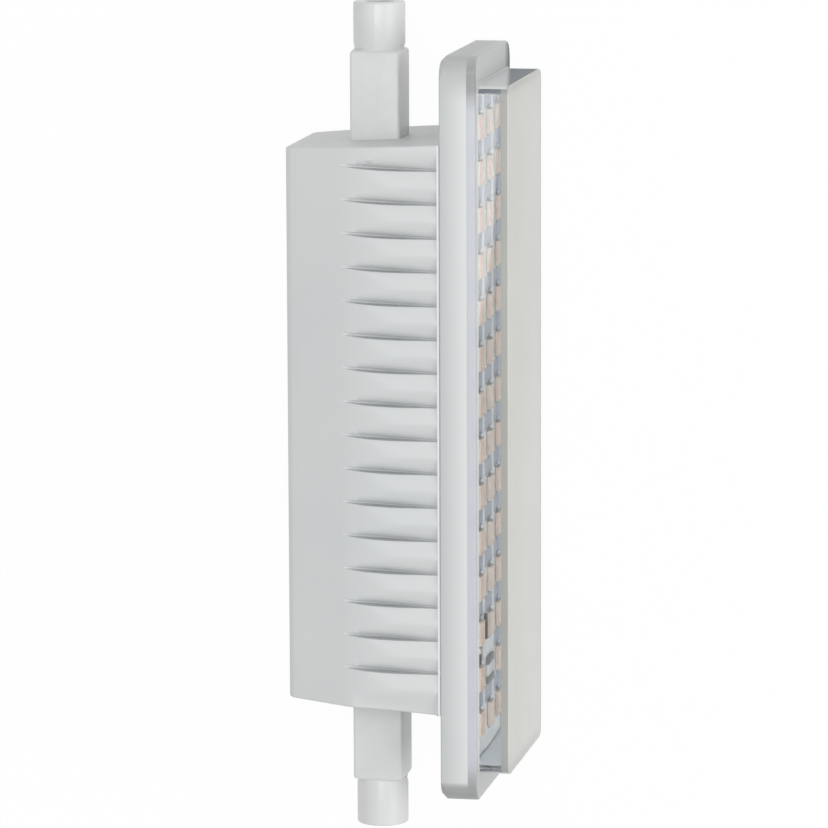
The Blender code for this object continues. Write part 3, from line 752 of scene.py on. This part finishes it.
def housing_rings():
    """All outlines of the housing, from the upper end's face down to the lower end's."""
    stations = rib_stations()
    rings = list(reversed(end_rings(1, stations[0][1])))
    for y, depth, curl, spread in stations:
        rings.append(housing_ring(y, depth, curl=curl, spread=spread))
    return rings + end_rings(-1, stations[-1][1])


def cut(piece, build, operation="DIFFERENCE"):
    """Cut or join a solid with the exact solver and keep the plain result."""
    other = add_object("cutter", mesh_of("cutter", build))
    modifier = piece.modifiers.new("boolean", "BOOLEAN")
    modifier.operation = operation
    modifier.object = other
    modifier.solver = "EXACT"
    depsgraph = bpy.context.evaluated_depsgraph_get()
    data = bpy.data.meshes.new_from_object(piece.evaluated_get(depsgraph))
    piece.modifiers.clear()
    piece.data = data
    bpy.data.objects.remove(other)


def add_cavity(mesh):
    """Add the housing's inside to a bmesh, tapering to the rear as the sides do."""
    half_length = HALF_LENGTH - END_DRAFT / 2 - HOUSING_WALL
    floor = HALF_WIDTH - RIB_DEPTH
    slope = (floor - REAR_HALF_WIDTH) / (BLEND_REAR - REAR_X)
    wall = HOUSING_WALL * math.hypot(1.0, slope)
    outline = [(CAVITY_REAR - AXIS_X, REAR_HALF_WIDTH + slope * HOUSING_WALL - wall),
               (BLEND_REAR, floor - wall), (FRONT_X + HOUSING_WALL, floor - wall)]
    outline += [(x, -z) for x, z in reversed(outline)]
    ends = [[axis_point(x, y, z) for x, z in outline] for y in (-half_length, half_length)]
    add_walls(mesh, ends, open_row=1)


def add_neck_hole(mesh):
    """Add the bar that both caps' necks need room for to a bmesh."""
    half_x, half_z = NECK_HALF_X + NECK_GAP, NECK_HALF_Z + NECK_GAP
    add_block(mesh, axis_point(-half_x, -2 * HALF_LENGTH, -half_z),
              axis_point(half_x, 2 * HALF_LENGTH, half_z), NECK_ROUND, segments=4)


def add_posts(mesh):
    """Add the posts that hold the driver board to a bmesh."""
    low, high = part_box("driver_board")
    for y in (low.y + POST_END_INSET, high.y - POST_END_INSET):
        for z in (low.z + POST_SIDE_INSET, high.z - POST_SIDE_INSET):
            centre = Vector((CAVITY_REAR + POST_HEIGHT / 2 - HOUSING_WALL / 4, y, z))
            add_disc(mesh, centre, POST_DIAMETER / 2, POST_HEIGHT + HOUSING_WALL / 2)


def build_housing(looks):
    """The slatted shell, hollow behind the light board, with its board posts."""
    data = solid_loft("housing_shell", housing_rings())
    for face in data.polygons:
        # The thin strip at the front takes the rim material, a painted highlight
        face.material_index = int(face.center.x > HOUSING_HIGH.x - FRONT_RIM)
    shell = place_mesh("housing_shell", data, [looks["housing"], looks["rim"]], HOUSING_SHARP)
    cut(shell, add_cavity)
    cut(shell, add_neck_hole)
    cut(shell, add_posts, "UNION")
    smooth(shell.data, HOUSING_SHARP)
    adopt(shell, "housing_plastic", "housing")


# End caps and contacts

def cap_ring(y, half_x, half_z, radius):
    """A round-cornered ring about the lamp's axis."""
    return [axis_point(x, y, z) for x, z in rounded_rectangle(half_x, half_z, radius)]


def round_ring(y, radius):
    """A circular ring about the lamp's axis, with as many points as a cap's ring."""
    return cap_ring(y, radius, radius, radius * FULL_ROUND)


def end_span(node, side):
    """How far from the lamp's middle a node at one of its ends starts and stops."""
    low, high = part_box(node)
    return (low.y, high.y) if side > 0 else (-high.y, -low.y)


def turned_to(side, rings):
    """Rings made for the upper end, at the end they are for."""
    return [[Vector((point.x, side * point.y, point.z)) for point in ring] for ring in rings]


def build_cap(looks, side, label):
    """One cap: collar, square neck, chamfered shoulder, round nose and its recess."""
    inner, outer = end_span("end_cap_" + label, side)
    face = end_span("contact_" + label, side)[1]
    floor = face - BUTTON_THICKNESS - FIT_GAP
    bore = STEM_RADIUS + FIT_GAP
    nose = outer - NOSE_LENGTH
    collar_x, collar_z = NECK_HALF_X + COLLAR_MARGIN, NECK_HALF_Z + COLLAR_MARGIN
    collar_end = inner + COLLAR_LENGTH
    rings = [cap_ring(inner, collar_x - SMALL_EDGE, collar_z - SMALL_EDGE, NECK_ROUND),
             cap_ring(inner + SMALL_EDGE, collar_x, collar_z, NECK_ROUND),
             cap_ring(collar_end, collar_x, collar_z, NECK_ROUND),
             cap_ring(collar_end, NECK_HALF_X, NECK_HALF_Z, NECK_ROUND)]
    for before, inset_x, inset_z, corner in SHOULDER_STEPS:
        rings.append(cap_ring(nose - SHOULDER * before, NECK_HALF_X - SHOULDER * inset_x,
                              NECK_HALF_Z - SHOULDER * inset_z, NECK_ROUND * corner))
    rings += [round_ring(nose + SMALL_EDGE, NOSE_RADIUS - SMALL_EDGE),
              round_ring(nose + SMALL_EDGE * 2, NOSE_RADIUS - SMALL_EDGE),
              round_ring(nose + SHOULDER * 2, NOSE_RADIUS)]
    for along, inward in quarter_turn(NOSE_STEPS):
        rings.append(round_ring(outer - EDGE_ROUND * along, NOSE_RADIUS - EDGE_ROUND * inward))
    rings += [round_ring(outer, RECESS_RADIUS + SMALL_EDGE),
              round_ring(outer - SMALL_EDGE, RECESS_RADIUS),
              round_ring(floor, RECESS_RADIUS), round_ring(floor, bore), round_ring(inner, bore)]
    data = mesh_of("cap_" + label, lambda mesh: add_walls(mesh, turned_to(side, rings)))
    cap = place_mesh("cap_" + label, data, [looks["cap"]], TURNED_SHARP)
    adopt(cap, "cap_ceramic", "end_cap_" + label)


def build_contact(looks, side, label):
    """One turned contact with a crowned button."""
    tail, face = end_span("contact_" + label, side)
    profile = [(face, BUTTON_TIP)]
    profile += [(face - below, BUTTON_RADIUS * share) for below, share in BUTTON_CROWN]
    profile += [(face - BUTTON_THICKNESS, BUTTON_RADIUS), (face - BUTTON_THICKNESS, STEM_RADIUS),
                (tail + STEM_END, STEM_RADIUS), (tail, STEM_RADIUS * STEM_TAPER)]
    rings = turned_to(side, [round_ring(y, radius) for y, radius in profile])
    data = solid_loft("contact_button_" + label, rings)
    contact = place_mesh("contact_button_" + label, data, [looks["contact"]], TURNED_SHARP)
    adopt(contact, "contact_metal", "contact_" + label)


# Head

def head_ring(x, half_y, half_z, radius):
    """A round-cornered ring facing out of the cover."""
    return [Vector((x, y, AXIS_Z + z)) for y, z in rounded_rectangle(half_y, half_z, radius)]


def edge_rings(x, half_y, half_z, corner):
    """Rings that round the outer edge at the front of a step."""
    rings = []
    for along, inward in quarter_turn(ROUND_STEPS):
        inset = COVER_EDGE * inward
        rings.append(head_ring(x - COVER_EDGE * along, half_y - inset, half_z - inset,
                               max(corner - inset, COVER_EDGE / 3)))
    return rings


def outer_cover_rings():
    """The cover's outside, from its rear rim up to the front pane."""
    rim = COVER_LOW.x
    cut_y = COVER_HALF_Y - RIM_CUT
    rings = [head_ring(rim, cut_y, COVER_HALF_Z - SMALL_EDGE, COVER_CORNER - SMALL_EDGE),
             head_ring(rim + SMALL_EDGE, cut_y + SMALL_EDGE, COVER_HALF_Z, COVER_CORNER),
             head_ring(rim + RIM_CUT, COVER_HALF_Y, COVER_HALF_Z, COVER_CORNER),
             head_ring(FLANGE_REAR, COVER_HALF_Y, COVER_HALF_Z, COVER_CORNER)]
    rings += edge_rings(FLANGE_FRONT, COVER_HALF_Y, COVER_HALF_Z, COVER_CORNER)
    for along, inward in quarter_turn(FILLET_STEPS):
        spread = COVER_FILLET * along
        rings.append(head_ring(FLANGE_FRONT + COVER_FILLET * inward, WINDOW_HALF_Y + spread,
                               WINDOW_HALF_Z + spread, WINDOW_CORNER + spread))
    rings.append(head_ring(COVER_HIGH.x - WINDOW_WALL, WINDOW_HALF_Y, WINDOW_HALF_Z, WINDOW_CORNER))
    return rings + edge_rings(COVER_HIGH.x, WINDOW_HALF_Y, WINDOW_HALF_Z, WINDOW_CORNER)


def inner_cover_rings():
    """The cover's inside, from the front pane down to its rear rim."""
    pane = COVER_HIGH.x - WINDOW_WALL
    window_y, window_z = WINDOW_HALF_Y - WINDOW_WALL, WINDOW_HALF_Z - WINDOW_WALL
    window_corner = WINDOW_CORNER - WINDOW_WALL
    room_y, room_z = COVER_HALF_Y - COVER_WALL, COVER_HALF_Z - COVER_WALL
    room_corner = COVER_CORNER - COVER_WALL
    return [head_ring(pane, window_y - SMALL_EDGE, window_z - SMALL_EDGE, window_corner),
            head_ring(pane - SMALL_EDGE, window_y, window_z, window_corner),
            head_ring(FLANGE_REAR + SMALL_EDGE, window_y, window_z, window_corner),
            head_ring(FLANGE_REAR, window_y + SMALL_EDGE, window_z + SMALL_EDGE,
                      window_corner + SMALL_EDGE),
            head_ring(FLANGE_REAR, room_y - SMALL_EDGE, room_z - SMALL_EDGE, room_corner),
            head_ring(FLANGE_REAR - SMALL_EDGE, room_y, room_z, room_corner),
            head_ring(COVER_LOW.x, room_y, room_z, room_corner)]


def cover_finish(row, face):
    """The number of the finish of a face in one row round the cover."""
    finish = COVER_ROWS[row]
    centre = face.calc_center_median()
    beside_window = abs(centre.y) > WINDOW_HALF_Y
    on_far_side = AXIS_Z - centre.z > COVER_HALF_Z - COVER_CORNER / 2
    # End-facing faces of the window rows: painted light on the inner ends, painted shade on the upper
    # outer end
    if finish in ("window", "wall") and abs(face.normal.y) > END_FACING:
        if row > FRONT_ROW:
            finish = "inner_end"
        else:
            finish = "window_end" if centre.y > 0 else "cover"
    # Flange edge faces on the far side beside the window take the painted shadow
    elif row in FLANGE_EDGE_ROWS and beside_window and on_far_side:
        finish = "edge"
    return COVER_FINISHES.index(finish)


def build_cover(looks):
    """The clear tray: skirt, flange and raised window, as one wall."""
    def fill(mesh):
        rings = outer_cover_rings() + inner_cover_rings()
        for row, face in add_walls(mesh, rings, FRONT_ROW):
            face.material_index = cover_finish(row, face)

    finishes = [looks[name] for name in COVER_FINISHES]
    cover = place_mesh("cover_tray", mesh_of("cover_tray", fill), finishes, COVER_SHARP)
    adopt(cover, "clear_polycarbonate", "clear_cover")


def build_refined(node, name, material, slot, edge):
    """A copy of a node with rounded edges, standing for it."""
    def fill(mesh):
        mesh.from_mesh(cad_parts[node].data)
        bmesh.ops.remove_doubles(mesh, verts=mesh.verts, dist=MERGE_DISTANCE)
        bmesh.ops.dissolve_limit(mesh, angle_limit=math.radians(FLAT_ANGLE), verts=mesh.verts,
                                 edges=mesh.edges)

    piece = place_mesh(name, mesh_of(name, fill), [material])
    bevel = piece.modifiers.new("edges", "BEVEL")
    bevel.width = edge
    bevel.segments = 2
    bevel.limit_method = "ANGLE"
    bevel.angle_limit = math.radians(SHARP_ANGLE)
    adopt(piece, slot, node)


def led_mesh(looks):
    """One light source: pale frame, sunk phosphor and its solder at both ends."""
    half = (LED_HIGH - LED_LOW) / 2
    well_y, well_z = half.y - LED_FRAME, half.z - LED_FRAME
    well_corner = 3 * LED_CORNER

    def ring(x, half_y, half_z, radius):
        outline = rounded_rectangle(half_y, half_z, radius, LED_CORNER_STEPS)
        return [Vector((x, y, z)) for y, z in outline]

    def fill(mesh):
        rings = [ring(-half.x, half.y, half.z, LED_CORNER),
                 ring(half.x - LED_CORNER, half.y, half.z, LED_CORNER),
                 ring(half.x, half.y - LED_CORNER, half.z - LED_CORNER, LED_CORNER),
                 ring(half.x, well_y, well_z, well_corner),
                 ring(half.x - LED_WELL, well_y - LED_WELL_SLOPE, well_z - LED_WELL_SLOPE, well_corner),
                 ring(half.x - LED_WELL * GEL_DEPTH_SHARE, well_y * GEL_SHARE, well_z * GEL_SHARE,
                      well_corner)]
        for row, face in add_walls(mesh, rings, len(rings) - 1):
            in_well = row >= len(rings) - 2 and face.calc_center_median().x > 0
            face.material_index = int(in_well)
        for side in (-1, 1):
            near = side * (half.y - SOLDER_OVERLAP)
            far = side * (half.y + SOLDER_REACH)
            add_block(mesh, (-half.x, min(near, far), -SOLDER_HALF_WIDTH),
                      (-half.x + SOLDER_HEIGHT, max(near, far), SOLDER_HALF_WIDTH), SOLDER_ROUND, 2)

    data = mesh_of("led_package", fill)
    dress(data, [looks["led_frame"], looks["phosphor"], looks["solder"]])
    return data


def led_names():
    """The light sources' nodes, in order."""
    return sorted(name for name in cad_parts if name.startswith("led_") and name[4:].isdigit())


def build_leds(looks):
    """Put one package at each light source's node."""
    shared = led_mesh(looks)
    for name in led_names():
        low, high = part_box(name)
        piece = add_object(name + "_package", shared)
        piece.location = (low + high) / 2
        adopt(piece, "led_phosphor", name)


def build_tracks(looks):
    """Masked copper between the rows of light sources, with its test points."""
    top = BOARD_HIGH.x + TRACK_HEIGHT
    boxes = [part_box(name) for name in led_names()]

    def fill(mesh):
        # The rounds come before the first bevel, so that their points keep the same order in each run
        for low, high in boxes:
            middle = ((low + high) / 2).z
            for across in DOT_PLACES:
                spot = Vector((top, high.y + DOT_GAP, middle + across))
                add_disc(mesh, spot, DOT_RADIUS, DOT_HEIGHT, 1)
        for low, high in boxes:
            middle = ((low + high) / 2).z
            lower = high.y + TRACK_GAP
            upper = min(BOARD_HIGH.y - BOARD_MARGIN, lower + TRACK_LENGTH)
            add_block(mesh, (BOARD_HIGH.x - TRACK_SUNK, lower, middle - TRACK_HALF_WIDTH),
                      (top, upper, middle + TRACK_HALF_WIDTH), TRACK_ROUND, segments=1)

    tracks = place_mesh("board_tracks", mesh_of("board_tracks", fill), [looks["track"], looks["dark"]])
    adopt(tracks, "light_board")


def build_connector(looks):
    """The block with dark ends and a grey middle near the board's lower end."""
    low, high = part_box("board_connector")
    top = low.x + CONNECTOR_HEIGHT
    lower_end, upper_end = low.y + CONNECTOR_END, high.y - CONNECTOR_END

    def fill(mesh):
        add_block(mesh, low, (top, lower_end, high.z), CONNECTOR_ROUND)
        add_block(mesh, (low.x, upper_end, low.z), (top, high.y, high.z), CONNECTOR_ROUND)
        add_block(mesh, (low.x, lower_end - CONNECTOR_OVERLAP, low.z + CONNECTOR_INSET),
                  (top - CONNECTOR_STEP, upper_end + CONNECTOR_OVERLAP, high.z - CONNECTOR_INSET),
                  MIDDLE_ROUND, 1)

    data = mesh_of("board_connector_block", fill)
    block = place_mesh("board_connector_block", data, [looks["slate"], looks["grey"]])
    adopt(block, "connector_resin", "board_connector")


def build_chips_and_shadow_bar(looks):
    """A small chip with a pale end on the light board beside the lowest rows, and a dark bar beside a
    light source that is a painted shadow.
    """
    def fill(mesh):
        base = BOARD_HIGH.x
        for lower, upper, across, half, height, rounding, material in CHIPS_AND_SHADOW_BAR:
            middle = AXIS_Z + across * MM
            add_block(mesh, (base, lower * MM, middle - half * MM),
                      (base + height * MM, upper * MM, middle + half * MM), rounding * MM, material)

    chips = place_mesh("board_chips_and_shadow_bar", mesh_of("board_chips_and_shadow_bar", fill), [looks["dark"], looks["led_frame"]])
    adopt(chips, "connector_resin")


def paint_nodes(looks):
    """Give the nodes that stay their finishes."""
    finishes = {"driver_board": "laminate", "electrolytic_capacitor": "can", "inductor": "ferrite",
                "bridge_rectifier": "dark", "driver_chip": "dark",
                "contact_lead_upper": "sleeve", "contact_lead_lower": "sleeve",
                "led_lead_positive": "sleeve", "led_lead_negative": "sleeve"}
    for name, look in finishes.items():
        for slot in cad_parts[name].material_slots:
            slot.material = looks[look]


# Stage

def background_mix(tree, surface):
    """Show white to the camera and in reflections, and keep some of the shading."""
    path = tree.nodes.new("ShaderNodeLightPath")
    seen = path.outputs["Is Camera Ray"]
    for ray in ("Is Glossy Ray", "Is Transmission Ray"):
        either = tree.nodes.new("ShaderNodeMath")
        either.operation = "MAXIMUM"
        tree.links.new(seen, either.inputs[0])
        tree.links.new(path.outputs[ray], either.inputs[1])
        seen = either.outputs["Value"]
    share = tree.nodes.new("ShaderNodeMath")
    share.operation = "MULTIPLY"
    share.inputs[1].default_value = WHITE_SHARE
    tree.links.new(seen, share.inputs[0])
    white = tree.nodes.new("ShaderNodeEmission")
    white.inputs["Color"].default_value = (1, 1, 1, 1)
    mix = tree.nodes.new("ShaderNodeMixShader")
    tree.links.new(share.outputs["Value"], mix.inputs["Fac"])
    tree.links.new(surface, mix.inputs[1])
    tree.links.new(white.outputs["Emission"], mix.inputs[2])
    tree.links.new(mix.outputs["Shader"], tree.nodes["Material Output"].inputs["Surface"])


def build_floor():
    """A plain white floor under the lamp."""
    def fill(mesh):
        bmesh.ops.create_grid(mesh, x_segments=1, y_segments=1, size=FLOOR_HALF_SIZE)

    material, tree, shader = new_material("floor_white", (0.86, 0.86, 0.86), roughness=0.9)
    shader.inputs["Specular IOR Level"].default_value = 0.0
    background_mix(tree, shader.outputs["BSDF"])
    floor = place_mesh("floor", mesh_of("floor", fill), [material])
    floor.location.z = -FLOOR_DROP


def build_world():
    """Even white light from all round."""
    world = bpy.data.worlds.new("studio")
    bpy.context.scene.world = world
    world.use_nodes = True
    background = world.node_tree.nodes["Background"]
    background.inputs["Color"].default_value = (1, 1, 1, 1)
    background.inputs["Strength"].default_value = WORLD_STRENGTH


def build_light(name, place, size, watts):
    """A soft lamp that faces the object."""
    data = bpy.data.lights.new(name, "AREA")
    data.shape = "DISK"
    data.size = size
    data.energy = watts
    light = add_object(name, data)
    light.location = place
    light.rotation_mode = "QUATERNION"
    light.rotation_quaternion = (-Vector(place)).to_track_quat("-Z", "Y")


def build_camera():
    """A camera where the photo was taken from, aimed at the lamp."""
    place = axis_point(*CAMERA_OFFSET)
    aim = axis_point(*AIM_OFFSET)
    look = (aim - place).normalized()
    right = look.cross(Vector((0, 1, 0))).normalized()
    up = right.cross(look)
    rolled_right = right * math.cos(CAMERA_ROLL) + up * math.sin(CAMERA_ROLL)
    rolled_up = up * math.cos(CAMERA_ROLL) - right * math.sin(CAMERA_ROLL)
    data = bpy.data.cameras.new("camera")
    data.sensor_width = SENSOR
    data.lens = SENSOR * FOCAL_PIXELS / PHOTO_WIDTH
    data.clip_start = CLIP_START
    camera = add_object("camera", data)
    turn = Matrix((rolled_right, rolled_up, -look)).transposed().to_4x4()
    camera.matrix_world = Matrix.Translation(place) @ turn
    bpy.context.scene.camera = camera


def main():
    """Build the camera, the lamp and the stage."""
    build_camera()
    looks = make_materials()
    build_housing(looks)
    for side, label in ((1, "upper"), (-1, "lower")):
        build_cap(looks, side, label)
        build_contact(looks, side, label)
    build_refined("head_frame", "frame_plate", looks["plate"], "frame_paint", PLATE_EDGE)
    build_refined("led_board", "light_board_panel", looks["mask"], "light_board", PANEL_EDGE)
    build_leds(looks)
    build_tracks(looks)
    build_connector(looks)
    build_chips_and_shadow_bar(looks)
    build_cover(looks)
    paint_nodes(looks)
    build_floor()
    build_world()
    for light in LIGHTS:
        build_light(*light)
    bpy.context.scene.view_settings.view_transform = "Standard"


main()
